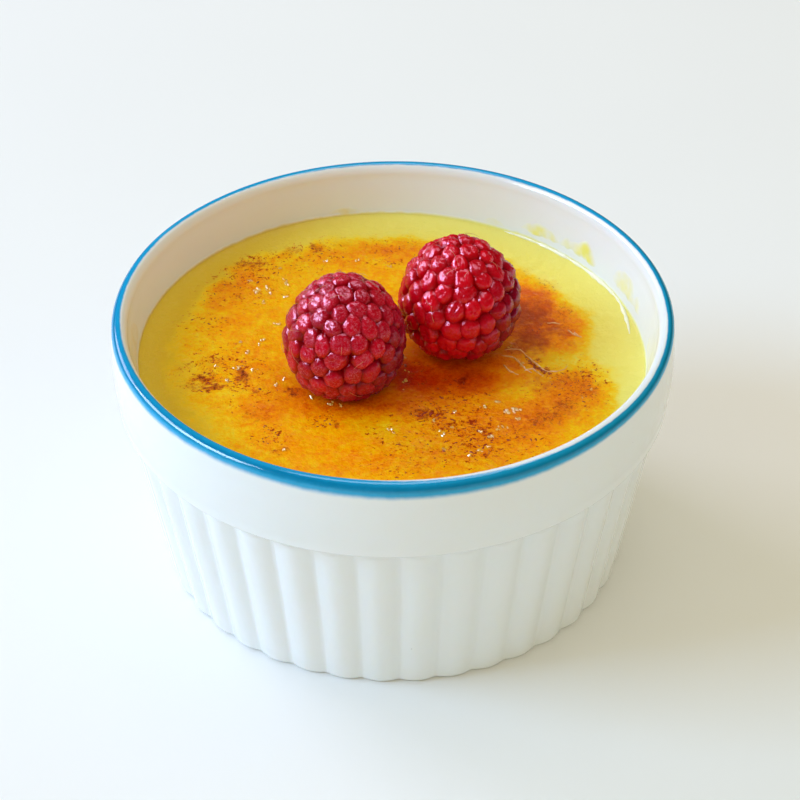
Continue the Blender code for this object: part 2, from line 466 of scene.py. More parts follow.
# Materials of two colours mixed by noise: its grain and detail, the colours, the roughness or its grain,
# detail, spread and least, the bumps' grain, detail and depth, and what else the shader needs
MOTTLED = {
    # Wet custard gathered where the skin meets the wall, its cream-white colour partly the thin film's own
    # and partly a painted highlight
    "wet_cream_highlight": (
        (1.5, 3), (254, 253, 232), (250, 246, 200), (1, 3, 0.1, 0.06), (1.2, 3, 0.05),
        {"IOR": 1.4, "Specular_IOR_Level": 0.4},
    ),
    # Thin wet skin, pushed up into folds
    "folded_skin": (
        (1.2, 3), (250, 204, 140), (232, 150, 70), (0.6, 3, 0.15, 0.06), (0.5, 3, 0.05),
        {"IOR": 1.5, "Specular_IOR_Level": 0.8},
    ),
    # Clear amber melted sugar
    "melted_sugar": (
        (1.2, 3), (252, 200, 112), (238, 150, 48), 0.1, (0.3, 2, 0.03),
        {"IOR": 1.5, "Specular_IOR_Level": 0.7, "Subsurface_Weight": 0.4, "Subsurface_Scale": 0.001,
         "Subsurface_Radius": (1, 0.6, 0.2)},
    ),
    # Sugar burnt to dark red-brown grains
    "charred_sugar": (
        (0.3, 2), (104, 20, 0), (190, 62, 0), 0.3, (0.15, 2, 0.02), {"Specular_IOR_Level": 0.2},
    ),
    # The dried golden-brown threads that stay on a raspberry
    "dried_styles": ((0.8, 2), (236, 164, 120), (176, 84, 52), 0.4, (0.2, 2, 0.01), {}),
    "pale_table": ((60, 2), (243, 243, 241), (240, 240, 238), 0.5, (1.5, 2, 0.004), {}),
}


def mottled_material(name):
    grain, first, second, rough, bumps, values = MOTTLED[name]
    m = Nodes(name)
    m.set(Base_Color=m.mix(m.noise(*grain), first, second), **values)
    m.set(Roughness=m.roughness(*rough) if isinstance(rough, tuple) else rough)
    size, detail, depth = bumps
    m.bump((m.noise(size, detail), depth))
    return m.material


# ---- ramekin

def wall_radius(z):
    return HEEL_RADIUS + WALL_SLOPE * (z - HEEL_Z)


def crest_radius(z):
    """Radius of the flutes' crests at a height."""
    base = BASE_ROUNDING
    return FLUTE_BASE_RADIUS + (FLUTE_TOP_RADIUS - FLUTE_BASE_RADIUS) * (z - base) / (BAND_BOTTOM_Z - base)


def band_points():
    """The plain band under the lip, swelling a little, with a rounded lower edge."""
    top = RIM_Z - LIP_ROUNDING
    edge = 0.55
    points = []
    steps = 22
    for i in range(1, steps):
        t = i / steps
        z = top + (BAND_BOTTOM_Z + edge - top) * t
        r = RIM_RADIUS + (BAND_BOTTOM_RADIUS - RIM_RADIUS) * t + BAND_BELLY * sin(pi * min(1, t * 1.1))
        points.append((r, z))
    return points + arc(BAND_BOTTOM_RADIUS - edge, BAND_BOTTOM_Z + edge, edge, edge, 90, 172, 8)


def dish_profile():
    """(radius, height, how much the flutes show) from the inside floor, over the lip, to the underside."""
    inside = line((0.5, FLOOR_Z), (HEEL_RADIUS - 5.9, FLOOR_Z), 4)
    inside += line((HEEL_RADIUS - 5.9, FLOOR_Z), (HEEL_RADIUS - 1.8, FLOOR_Z + 1.5), 3)
    inside += line((HEEL_RADIUS - 1.8, FLOOR_Z + 1.5), (HEEL_RADIUS, HEEL_Z), 3)
    wall_top = RIM_Z - 2.1
    inside += line((HEEL_RADIUS, HEEL_Z), (wall_radius(wall_top), wall_top), 30)
    lip_width = CROWN_RADIUS - 0.08 - wall_radius(wall_top)
    lip = arc(CROWN_RADIUS, wall_top, lip_width, RIM_Z - wall_top, -90, -6, 11)
    lip += arc(CROWN_RADIUS, RIM_Z - LIP_ROUNDING, LIP_ROUNDING, LIP_ROUNDING, 0, 90, 10)
    smooth = inside + lip + band_points()
    fluted = []
    top = BAND_BOTTOM_Z - 0.15
    for i in range(9):
        z = top - 1.8 * i / 9
        fluted.append((crest_radius(z), z))
    fluted += line(fluted[-1], (FLUTE_BASE_RADIUS, BASE_ROUNDING), 16)[1:]
    fluted += arc(FLUTE_BASE_RADIUS - BASE_ROUNDING, BASE_ROUNDING, BASE_ROUNDING, BASE_ROUNDING, 90, 180, 6)
    foot_inner = FLUTE_BASE_RADIUS - BASE_ROUNDING - FOOT_WIDTH
    under = [(foot_inner + 1.0, 0), (foot_inner, 0), (foot_inner - 0.4, FOOT_HEIGHT * 0.5)]
    under += line((foot_inner - 1.0, FOOT_HEIGHT), (0.5, FOOT_HEIGHT), 4)
    return [(r, z, 0) for r, z in smooth] + [(r, z, 1) for r, z in fluted] + [(r, z, 0) for r, z in under]


# The blue line was painted by hand: direction in degrees, and where it starts and ends over the lip,
# in millimetres outwards from the lip's highest line
PAINTED_LINE = (
    (-180, -0.2, 2.1), (-160, -0.6, 2.1), (-140, -0.8, 2.2), (-120, -0.8, 2.4), (-105, -0.7, 2.7),
    (-90, -0.25, 3), (-75, 0.1, 3), (-65, 0.25, 3), (-52, 0.4, 2.7), (-40, 0.45, 2.4), (-25, 0.35, 2.1),
    (-10, 0.15, 1.7), (5, -0.1, 1.5), (30, -0.35, 1.65), (60, -0.6, 1.8), (100, -0.6, 2.1),
    (125, -0.45, 2.2), (145, -0.25, 2.2), (180, -0.2, 2.1),
)


def flute_dent(z, angle):
    """How far the outside lies inside the crests' cone: sharp grooves, round crests, soft upper ends."""
    turn = FLUTES * (angle - FLUTE_PHASE) / 2
    groove = 1 - np.sqrt(np.sin(turn) ** 2 + GROOVE_SOFTNESS)
    depth = GROOVE_BASE + (GROOVE_TOP - GROOVE_BASE) * z / BAND_BOTTOM_Z
    upper_end = smoothstep(BAND_BOTTOM_Z - 1.9, BAND_BOTTOM_Z - 0.1, z)
    return depth * groove + 0.55 * upper_end * (1 - groove)


def make_dish(material):
    profile = np.array(dish_profile())
    count = FLUTES * POINTS_PER_FLUTE
    angles = FLUTE_PHASE + tau * np.arange(count) / count
    radius, z, fluted = profile.T[:, :, None]
    points = around(radius - fluted * flute_dent(z, angles), angles, z).reshape(-1, 3)
    sway = field(points, 22.0, seed=1, octaves=2)
    r = np.hypot(points[:, 0], points[:, 1])
    outside = (r > wall_radius(points[:, 2]) + 0.6) & (points[:, 2] > 2)
    scale = 1 + 0.07 * sway * outside / np.maximum(20, r)
    points[:, :2] *= scale[:, None]
    poles = [(0, 0, FLOOR_Z), (0, 0, FOOT_HEIGHT)]
    points = np.vstack([points, poles])

    # How far across the painted line each point lies: 0 at its inner edge, 1 at its outer one
    along = np.concatenate([[0], np.cumsum(np.hypot(*np.diff(profile[:, :2], axis=0).T))])
    along -= along[np.argmax(profile[:, 1])]
    degrees = (np.degrees(angles) + 180) % 360 - 180
    where, inner, outer = np.array(PAINTED_LINE).T
    inner, outer = np.interp(degrees, where, inner), np.interp(degrees, where, outer)
    across = (along[:, None] - inner) / (outer - inner)
    across = np.append(np.clip(across, -1, 2).ravel(), [-1, 2])
    return mesh_object("dish", points, turned_faces(len(profile), count), material, {"across": across})


# ---- custard

# How far out from the middle the sugar has browned: direction in degrees, radius
TOASTED_TO = (
    (-180, 38), (-150, 38.5), (-120, 40.5), (-90, 42.5), (-60, 42.5), (-40, 41.8), (-20, 39.8), (-8, 37.4),
    (5, 35), (30, 35), (50, 35), (75, 36), (100, 36.5), (130, 38), (160, 38), (180, 38),
)
# Deeper and paler caramel: x, y, half width, half depth, strength, turn in degrees. The deep patches at (10,
# -5) and (-6, -13.5), under and in front of the berries, partly paint their shade.
AMBER_PATCHES = (
    (0, 32, 6, 3, 0.22), (-10, 30, 8, 4, 0.08), (-27, 22, 4, 6, 0.16, 20), (-30, 12, 4, 5, 0.08),
    (23, 18, 5, 6, 0.42, -30), (25, 9, 6, 7, 0.4), (10, -5, 12, 5, 0.36), (29, -8, 5, 4, 0.26),
    (25, -15, 6, 4, 0.24, 30), (12, -25, 13, 6, 0.05, 8), (-2, -28, 9, 4, 0.08), (-13, -23, 8, 4, 0.08, -10),
    (-6, -13.5, 10, 3.4, 0.36), (-22, -16, 3, 3, 0.25), (-16, -10, 4, 3, 0.18), (-24, -4, 5, 5, 0.1),
    (17, -19, 7, 5, 0.18), (15, -24, 6, 4, 0.05), (13, -14, 8, 3.5, 0.14), (-30, -4, 6, 6, -0.08),
    (-26, -10, 3, 2, -0.15, 10), (22, -7, 5, 3, -0.22, 30), (27, -1, 4, 2.5, -0.28),
    (13, -12.5, 6, 2.2, -0.03, 6), (20, -9, 4, 2, -0.04), (-34, 4, 4, 14, -0.12), (-15, 24, 8, 5, -0.06),
    (-28, -20, 5, 6, -0.12, 40), (0, -19, 5, 2, -0.06), (33, 0, 4, 6, -0.15),
)
SCORCHED_PATCHES = (
    (-31, -6.6, 2.2, 1.3, 0.85), (-29.2, -9, 3, 1.1, 0.9, 10), (-24.4, -4.8, 1.4, 2.4, 0.9, 15),
    (-33, -8.6, 1.4, 1.6, 0.5), (-30, -2, 3, 2.2, 0.45), (-34.5, -3.6, 1.2, 1.2, 0.4),
    (-24.5, 27, 3.2, 1.6, 0.62, 10), (-27.5, 24.2, 2, 2.4, 0.36), (-28.5, 20.6, 2.6, 2.6, 0.42),
    (-26.5, 16.9, 1.2, 1.6, 0.5), (-30.5, 15, 2, 2.6, 0.3), (-16.4, -10.6, 2, 1.5, 0.75, -20),
    (-22, -16.4, 2.2, 2.4, 0.42, 20), (-9, -18.8, 0.9, 1.3, 0.62), (-22.8, -9.6, 2, 1, 0.5, -30),
    (-17.7, -25.2, 1, 1.2, 0.6, -30), (-13.4, 32, 1.1, 1.8, 0.6, 20), (-18, 30.6, 1.6, 1.6, 0.5),
    (-15, 28.6, 0.9, 1.6, 0.4, -20), (-9, 33, 2, 1.8, 0.36), (-11.5, 26.8, 0.6, 1.2, 0.45, -25),
    (-1.8, 31.6, 4.4, 1.8, 0.34), (3.4, 33, 2.2, 1.6, 0.34), (26, 21, 3, 2.6, 0.4, -30),
    (22, 24.5, 2.6, 2, 0.36), (29, 13, 2.6, 2.6, 0.42), (29, -6, 3.8, 1.6, 0.5, 10),
    (31.5, -8.4, 2.6, 3, 0.46), (28.4, -12.8, 3, 2.4, 0.55), (24.5, -16.5, 3.6, 1.8, 0.6, 20),
    (21, -20.5, 2.6, 2.6, 0.4), (14.5, -20.5, 7, 4, 0.34), (9, -25.5, 8, 4, 0.34),
    (5, -15.5, 3.4, 1.6, 0.62), (9, -18.5, 2.6, 1.6, 0.5), (3, -29.5, 6, 2, 0.35),
    (24, -2.6, 0.8, 3.2, 0.85, 38), (19.8, 2.5, 1.2, 1, 0.5), (12, -9, 7, 2, 0.35),
)
# Sugar burnt to a clear purplish brown
BURNT_PATCHES = (
    (22.5, 11.5, 4, 4.6, 0.85, -20), (23, 5, 3.6, 4.2, 0.75), (26.6, 7.6, 3.4, 3, 0.6),
    (24.6, -7.4, 3, 3.6, 0.42, 30), (27.5, -14, 3.4, 2.6, 0.36, 20), (30, 4.5, 2, 1.4, 0.4),
    (24.5, 16, 3, 2, 0.45), (11.6, -6.4, 1.6, 1, 0.8), (23.5, -18.6, 2.6, 1.6, 0.3, 30),
)
# Darker and redder round the berries' feet: partly raspberry juice soaked into the skin, partly painted
# shade and red light bounced from the berries
JUICE_AND_SHADE_PATCHES = (
    (-7, -8, 8, 6.6, 0.7), (10, 2, 9.5, 8, 0.8), (3, -5.5, 6.5, 5, 0.95, -20), (11, -5.6, 8.5, 3.4, 0.75),
    (20.5, 4, 3.5, 5.5, 0.35), (-2, -12, 6.5, 2.4, 0.42), (4, -9.5, 5, 3, 0.5),
)
# Where dark grains lie thickest: x, y, radius, strength
SPECKLED = (
    (6, -15.5, 4, 1), (12, -20, 7, 0.95), (15, -24, 5, 0.7), (4, -22, 8, 0.55), (28, -9, 6, 0.6),
    (-28, -4, 6, 0.8), (31, -5, 4, 0.7), (-24, -10, 5, 0.55), (-11, -18, 2, 0.9), (-20, -22, 3, 0.6),
    (-27, 20, 7, 0.6), (-15, 30, 6, 0.5), (-22, 26, 5, 0.6), (23, 8, 5, 0.3), (10, -10, 5, 0.7),
    (3, -4, 4, 0.7), (-31, 8, 5, 0.4), (20, -22, 5, 0.5), (2, -29, 7, 0.35), (0, 31, 5, 0.4),
)
# Raw custard on the wall above the skin, in peaks: direction in degrees, foot, top, half width, strength.
# The wide faint one at 180 degrees partly paints the shaded left wall's golden tint.
SMEARS = (
    (52.5, 1.2, 3.7, 7.4, 0.55), (49.5, 1.3, 3.2, 4.2, 0.45), (55.5, 1.2, 3.2, 3.6, 0.4),
    (40.5, 1.4, 3.8, 8.6, 0.48), (38.5, 1.4, 5.1, 5.4, 0.85), (44.5, 1.4, 3.6, 3.4, 0.36),
    (21.5, 1.6, 6.4, 9, 0.46), (25, 1.9, 5.2, 5, 0.32), (15, 1.6, 4.6, 4.6, 0.3), (65, 0.2, 2, 6, 0.28),
    (102, 0.2, 1.7, 7, 0.4), (0, 0.8, 4.2, 9, 0.18), (-8, 1, 5, 7, 0.18), (180, 0.8, 6, 12, 0.22),
)


def patch(x, y, middle_x, middle_y, half_width, half_depth, strength, turn=0):
    """Strength in the middle of a turned oval, falling off round it."""
    c, s = cos(radians(turn)), sin(radians(turn))
    u = ((x - middle_x) * c + (y - middle_y) * s) / half_width
    v = (-(x - middle_x) * s + (y - middle_y) * c) / half_depth
    return strength * np.exp(-0.7 * (u * u + v * v) ** 1.3)


def custard_level(x):
    return LEVEL - LEVEL_SLOPE * x


def custard_edge(x):
    """Radius at which the skin reaches the wall, where the level is that of x."""
    return wall_radius(custard_level(x) + MENISCUS) + 0.03


def custard_skin(x, y):
    """Height of the skin at each point, and how toasted, scorched, burnt, juicy and speckled it is there,
    with painted shade round the berries' feet and painted light by the wall.
    """
    edge = custard_edge(x)
    r = np.hypot(x, y)
    flat = np.stack([x, y, np.zeros_like(x)], axis=-1)
    broad = field(flat, 9, seed=2, octaves=3)
    ragged = field(flat, 3.2, seed=3, octaves=4)
    fine = field(flat, 1.1, seed=4, octaves=3)
    wx, wy = x + 1.2 * ragged + 0.5 * fine, y + 1.4 * fine + 0.9 * broad

    where, radius = np.array(TOASTED_TO).T
    toasted_to = np.interp(np.degrees(np.arctan2(y, x)), where, radius) + 1.6 * broad + 1.2 * ragged
    toast = 0.5 * smoothstep(toasted_to + 1.5, toasted_to - 5.5, r)
    zone = smoothstep(toasted_to + 1.5, toasted_to - 3.5, r)
    for oval in AMBER_PATCHES:
        toast = toast + patch(wx, wy, *oval) * zone
    toast = np.clip(toast + 0.05 * broad * zone, 0, 1) * smoothstep(edge + 0.8, edge - 3, r)
    values = {"toast": toast}
    # The patches round the berries' feet also hold painted shade and red bounce light
    for key, patches in (("scorch", SCORCHED_PATCHES), ("burnt", BURNT_PATCHES), ("juice_and_shade", JUICE_AND_SHADE_PATCHES)):
        values[key] = np.zeros_like(x)
        for oval in patches:
            values[key] = np.maximum(values[key], patch(wx, wy, *oval))
    specks = 0.04 * zone
    for px, py, reach, strength in SPECKLED:
        specks = np.maximum(specks, patch(wx, wy, px, py, reach, reach, strength))
    values["specks"] = specks * smoothstep(toasted_to + 3, toasted_to - 1.5, r)

    # Painted light, as if bounced off the glaze: how much paler the custard is near the wall
    values["painted_wall_light"] = smoothstep(edge - 6, edge - 0.5, r)
    skin = smoothstep(edge - 1.5, edge - 5, r)
    height = custard_level(x) + MENISCUS * np.exp(-np.maximum(edge - r, 0) / MENISCUS_REACH)
    height = height + skin * (0.13 * broad + 0.09 * ragged + 0.05 * fine - 0.1 * values["scorch"])
    return height, values


def custard_grid():
    """A square net bent into a disc: unit x and y of its points, its faces, and its rim."""
    cells = 256
    side = np.linspace(-1, 1, cells + 1)
    u, v = np.meshgrid(side, side, indexing="ij")
    x = (u * np.sqrt(1 - v * v / 2)).ravel()
    y = (v * np.sqrt(1 - u * u / 2)).ravel()
    row = cells + 1
    faces = [
        (i * row + j, (i + 1) * row + j, (i + 1) * row + j + 1, i * row + j + 1)
        for i in range(cells) for j in range(cells)
    ]
    rim = [i * row for i in range(cells)] + [cells * row + j for j in range(cells)]
    rim += [i * row + cells for i in range(cells, 0, -1)] + list(range(cells, 0, -1))
    return x, y, faces, rim


def smear_thickness(angle, height):
    """How much custard covers the wall at angles and heights above the skin, from 1 to 0."""
    streak = field(around(SKIN_RADIUS, angle, height * 0.7), 1.6, seed=8, octaves=4)
    film = 0.75 * smoothstep(0.55 + 0.25 * streak, -0.1, height)
    degrees = np.degrees(angle)
    for where, foot, top, half_width, strength in SMEARS:
        up = (height - foot + 0.35 * streak) / (top - foot)
        reach = half_width * np.clip(1 - up, 0.02, 1) ** 0.8
        away = np.abs((degrees - where + 180) % 360 - 180) / reach
        peak = smoothstep(1.2, 0.05, away) * smoothstep(-0.12, 0.12, up) * smoothstep(1.05, 0.55, up)
        film = np.maximum(film, strength * peak * (1 + 0.5 * streak))
    return np.clip(film, 0, 1)


def make_smears(material):
    """The custard left on the wall above the skin; where there is none it runs inside the glaze."""
    count, steps, top, bottom = 720, 30, 5.2, -0.6
    skin_edge, inside_glaze, thickest, depth = 41.8, 0.03, 0.2, 0.4
    angle = tau * np.arange(count) / count
    rings, thick = [], []
    level = custard_level(skin_edge * np.cos(angle)) + MENISCUS
    for i in range(steps + 1):
        height = np.full(count, top * i / steps)
        cover = smear_thickness(angle, height) * (i < steps)
        thick.append(cover)
        rings.append((wall_radius(level + height) + inside_glaze - thickest * cover, level + height))
    for height, shift in ((top, depth), (bottom, depth), (bottom, -0.3)):
        rings.append((wall_radius(level + height) + shift, level + height))
        thick.append(np.ones(count))
    points = [around(r, angle, z) for r, z in rings]
    faces = []
    for i in range(len(rings)):
        a, b = i * count, ((i + 1) % len(rings)) * count
        faces += [(a + j, a + (j + 1) % count, b + (j + 1) % count, b + j) for j in range(count)]
    return mesh_object("wall_smears", np.vstack(points), faces, material, {"thick": np.concatenate(thick)})


def make_custard(material):
    ux, uy, faces, rim = custard_grid()
    edge = custard_edge(ux * SKIN_RADIUS)
    x, y = ux * edge, uy * edge
    z, values = custard_skin(x, y)
    points = [np.stack([x, y, z], axis=-1)]
    angle = np.arctan2(y[rim], x[rim])
    count, total = len(rim), len(x)
    ring = rim
    lower_rings = (wall_radius(24) - 0.3, 24), (HEEL_RADIUS - 0.3, HEEL_Z), (HEEL_RADIUS - 4, FLOOR_Z + 1)
    for radius, level in lower_rings:
        points.append(around(radius, angle, level))
        lower = range(total, total + count)
        for i in range(count):
            k = (i + 1) % count
            faces.append((ring[k], ring[i], lower[i], lower[k]))
        ring, total = lower, total + count
    points.append(np.array([[0, 0, FLOOR_Z + 1]]))
    faces += [(ring[(i + 1) % count], ring[i], total) for i in range(count)]
    values = {key: np.append(value, np.zeros(total + 1 - len(x))) for key, value in values.items()}
    return mesh_object("custard_filling", np.vstack(points), faces, material, values)


# ---- what lies on the custard

# Folds of skin that slid as it was torched: (x, y) along each
FOLDS = (
    ((18.6, 2.2), (20, 2.5), (21.2, 2.2), (22.4, 0.5), (23.4, -1.2),
     (24.2, -2.4), (25.1, -3.3), (26.7, -3.8), (28, -3.1), (28.9, -2.1)),
    ((18, 0.6), (19.8, 0.2), (21, -1.4), (21.8, -3), (22.8, -4)),
    ((18.2, -2.2), (19.2, -3.8), (20.6, -4.8)),
    ((21.6, -3.6), (23, -3), (24.4, -4.6)),
    ((26, 10), (27, 10.2), (28.2, 9.8)),
    ((29.4, 8), (30.2, 6.8), (31.6, 5.8)),
    ((30.4, 7.4), (31.2, 6.2)),
)
# Blisters of melted sugar: x, y, how many, how far they spread
BLISTERS = (
    (-27.2, -7, 6, 0.6), (-25.6, -3.7, 6, 0.6), (-24.4, 0.5, 5, 0.5), (-29, -3.2, 3, 0.4),
    (-25.5, 3.6, 3, 0.4), (-23.1, -4.2, 4, 0.4), (-21.9, 4.2, 3, 0.4), (-22.5, 2.8, 2, 0.3),
    (-19.3, -8.2, 3, 0.4), (-18, -7.1, 2, 0.3), (-23.4, 18, 5, 0.5), (-22.2, 15, 3, 0.5), (-21, 19, 5, 0.9),
    (-18.5, 16.6, 3, 0.6), (-19.4, 8.8, 3, 0.5), (-24.6, 21.6, 3, 0.4), (-18.4, 21.2, 5, 0.7),
    (-19.6, 25.4, 2, 0.3), (-11.7, 27.4, 3, 0.6), (-6.5, 27.9, 2, 0.4), (-1.1, 26, 2, 0.4),
    (-17.5, -25.3, 2, 0.3), (-0.6, -19.7, 3, 0.5), (0.1, -20.6, 2, 0.3), (6.4, -17.1, 3, 0.4),
    (7.5, -20.2, 4, 0.5), (9.6, -19.1, 3, 0.4), (15.6, -21.6, 5, 0.5), (13.8, -24.8, 3, 0.4),
    (15.1, -24.2, 3, 0.4), (13.8, -20.1, 4, 0.4), (17, -19, 3, 0.5), (18, -18.7, 3, 0.4),
    (20, -16.9, 4, 0.5), (19.6, -14.2, 9, 0.7), (18.3, -14.8, 4, 0.4), (16.9, -12.1, 3, 0.4),
    (14.7, -13.8, 3, 0.5), (10, -14.7, 2, 0.3), (12, -26.4, 2, 0.5), (8, -24.5, 2, 0.4), (1.8, -0.4, 3, 0.4),
    (2.1, -4.4, 2, 0.8), (2, -6.5, 3, 0.5), (1.6, -9.2, 1, 0.3), (-10.2, -12.8, 4, 0.5),
    (-13.5, -11.3, 3, 0.4), (-8.6, -13.4, 2, 0.4), (31, -10, 2, 1.5), (21.5, -1.6, 3, 0.7),
    (24.6, -5, 3, 0.8), (19.4, 3, 3, 0.5),
)


def make_folds(material):
    threads = Tubes(sides=8)
    spacing, waver, wave_length = 0.25, 0.22, 0.9
    for fold in FOLDS:
        knots = [Vector((x, y, 0)) for x, y in fold]
        path, radii = [], []
        for i in range(len(knots) - 1):
            steps = max(3, int((knots[i + 1] - knots[i]).length / spacing))
            for j in range(steps + (i == len(knots) - 2)):
                p = knots[i].lerp(knots[i + 1], j / steps)
                aside = noise.noise(p / wave_length), noise.noise(p / wave_length + Vector((7, 3, 1)))
                path.append(Vector((p.x + waver * aside[0], p.y + waver * aside[1], 0)))
        heights, _ = custard_skin(np.array([p.x for p in path]), np.array([p.y for p in path]))
        for i, (p, height) in enumerate(zip(path, heights)):
            taper = sin(pi * (i + 0.6) / (len(path) + 0.2)) ** 0.5
            radius = (0.06 + 0.15 * (0.5 + noise.noise(p / 0.6 + Vector((2, 9, 4))))) * taper
            p.z = height + 0.1 * radius
            radii.append(radius + 0.02)
        threads.add(path, radii, flatten=0.8)
    return threads.make("skin_folds", material)


def blob(rng, radius, flatten):
    """Points and faces of a small uneven ball."""
    ball, faces = ball_mesh(bmesh.ops.create_icosphere, subdivisions=3, radius=1.0)
    shift = Vector([rng.uniform(0, 50) for _ in range(3)])
    points = []
    for corner in ball:
        d = Vector(corner).normalized()
        p = d * radius * (1 + 0.3 * noise.noise(d * 1.3 + shift))
        points.append((p.x, p.y, p.z * flatten))
    return points, faces


def scatter(name, spots, material, flatten, sink, facing=None, stretch=1.3):
    """One mesh of uneven discs at (x, y, radius) spots, sunk a little, lying flat or facing a direction."""
    rng = Random(name)
    xs, ys = np.array([s[0] for s in spots]), np.array([s[1] for s in spots])
    heights, _ = custard_skin(xs, ys)
    all_points, all_faces = [], []
    for (x, y, radius), height in zip(spots, heights):
        points, faces = blob(rng, radius, flatten)
        long = rng.uniform(1.0, stretch)
        turn = Matrix.Rotation(rng.uniform(0, tau), 3, "Z") @ Matrix.Diagonal((long, 1 / long, 1))
        if facing:
            aside = Vector([rng.gauss(0, 1) for _ in range(3)])
            aim = (Vector(facing) + 0.09 * aside).normalized()
            turn = aim.to_track_quat("Z", "Y").to_matrix() @ turn
        base = len(all_points)
        middle = Vector((x, y, height - sink * radius * (1 if facing else flatten)))
        all_points += [tuple(middle + turn @ Vector(p)) for p in points]
        all_faces += [tuple(base + i for i in face) for face in faces]
    return mesh_object(name, all_points, all_faces, material)


# The melted sugar bubbled up and broke into chips that lean back towards the right
CHIPS_FACE = (-0.48, -0.49, 0.727)


def make_blisters(material):
    rng = Random(9)
    spots = []
    for x, y, count, spread in BLISTERS:
        for _ in range(count):
            px, py = x + rng.gauss(0, spread * 0.55), y + rng.gauss(0, spread * 0.75)
            spots.append((px, py, rng.uniform(0.18, 0.42)))
    return scatter("sugar_blisters", spots, material, 0.3, 0.25, facing=CHIPS_FACE, stretch=1.5)


# The sugar cracked along the largest fold and burnt there
CRACK = ((21.9, 0.4), (23.6, -2.7), (26.0, -4.1))
# The largest charred grains: x, y, radius
LARGE_CHARS = (
    (6.2, -15.2, 0.5), (5.1, -15.2, 0.36), (7.2, -15.6, 0.34), (4, -16, 0.28), (8.3, -16.5, 0.3),
    (2.9, -15.4, 0.24), (9.6, -16.9, 0.28), (18.4, -22, 0.3), (13.5, -19.8, 0.28), (8, -25, 0.26),
    (14.6, -23.4, 0.3), (12.4, -22.2, 0.26),
)


def make_chars(material):
    """Small charred grains, most of them where the skin is speckled."""
    rng = Random(31)
    spots = list(LARGE_CHARS)
    start, bend, end = (Vector(p) for p in CRACK)
    grains, within = 34, 36
    for i in range(grains):
        t = i / (grains - 1)
        middle = start.lerp(bend, 2 * t) if t < 0.5 else bend.lerp(end, 2 * t - 1)
        spots.append((middle.x + rng.gauss(0, 0.14), middle.y + rng.gauss(0, 0.18), rng.uniform(0.1, 0.22)))
    for x, y, reach, strength in SPECKLED:
        for _ in range(int(20 * strength)):
            px, py = x + rng.gauss(0, reach * 0.5), y + rng.gauss(0, reach * 0.4)
            if px * px + py * py < within ** 2:
                sizes = (0.07, 0.17) if rng.random() < 0.85 else (0.17, 0.28)
                spots.append((px, py, rng.uniform(*sizes)))
    return scatter("charred_grains", spots, material, 0.35, 0.3, stretch=1.9)


# Where the bead of cream is thickest: direction in degrees, half width, strength
GLEAM_PATCHES = ((16, 4.5, 1), (32, 4.5, 0.85), (47, 5, 0.3))


def make_gleam(material):
    """The bead of cream along the wall on the right, now thick, now thin; its front end leaves the wall. Its
    near-white colour is partly a painted highlight.
    """
    threads = Tubes(sides=12)
    path, radii = [], []
    count, start, stop, leaves_at = 190, 62, 10, 24
    for i in range(count):
        degrees = start + (stop - start) * i / (count - 1)
        a = radians(degrees)
        swell = 0.5 + noise.noise(Vector((i * 0.13, 3.1, 0.7)))
        thick = sum(most * exp(-((degrees - middle) / wide) ** 2) for middle, wide, most in GLEAM_PATCHES)
        ends = sin(pi * (i + 1) / (count + 1)) ** 0.35
        radii.append((0.18 + 0.18 * swell + 0.2 * min(1, thick)) * ends)
        leave = 1.3 * max(0, (leaves_at - degrees) / (leaves_at - stop)) ** 1.3
        x = custard_edge(0) * cos(a)
        r = custard_edge(x) - 0.15 - 0.12 * swell - leave
        foot = custard_level(x) + MENISCUS * exp(-(0.15 + leave) / MENISCUS_REACH)
        path.append((r * cos(a), r * sin(a), foot - 0.12 + 0.08 * swell))
    threads.add(path, radii)
    return threads.make("wet_edge_highlight", material)


# ---- raspberries

HOLLOW_CUT = 0.77  # a raspberry stands on its open end, in parts of its half height
SUNK = 0.85  # how deep its foot presses into the custard
CORE_RADIUS = 0.86  # the pale body under the drupelets, in parts of the berry's radius
OVERLAP = 0.625  # a drupelet's radius, in parts of the distance to its neighbours

# side, lean towards and lean in degrees, how many drupelets, how far they swell out, seed, clearness, how
# pale the tops are (partly a pale down, partly painted sheen), share with threads
BERRIES = (
    ("left", 20, 4, 136, 0.84, 11, 0.15, 0.5, 0.3),
    ("right", 150, 10, 130, 1, 23, 1, 0.08, 0.12),
)


def drupelet_centres(count, rng):
    """Unit vectors to the drupelets: a spiral start, then each pushed away from its neighbours."""
    centres = []
    for i in range(count):
        z = max(-1, min(1, 1 - 2 * (i + 0.5) / count + rng.uniform(-0.03, 0.03)))
        angle = GOLDEN_ANGLE * i + rng.uniform(-0.25, 0.25)
        ring = sqrt(1 - z * z)
        centres.append((ring * cos(angle), ring * sin(angle), z))
    centres = np.array(centres)
    for _ in range(14):
        apart = centres[:, None] - centres[None]
        distance = np.maximum(np.linalg.norm(apart, axis=-1), 1e-3)
        np.fill_diagonal(distance, 9.0)
        centres += 0.00045 * (apart / distance[..., None] ** 4.5).sum(1).clip(-60, 60)
        centres /= np.linalg.norm(centres, axis=1)[:, None]
    apart = np.linalg.norm(centres[:, None] - centres[None], axis=-1)
    return centres, np.sort(apart, axis=1)[:, 1:6].mean(1)


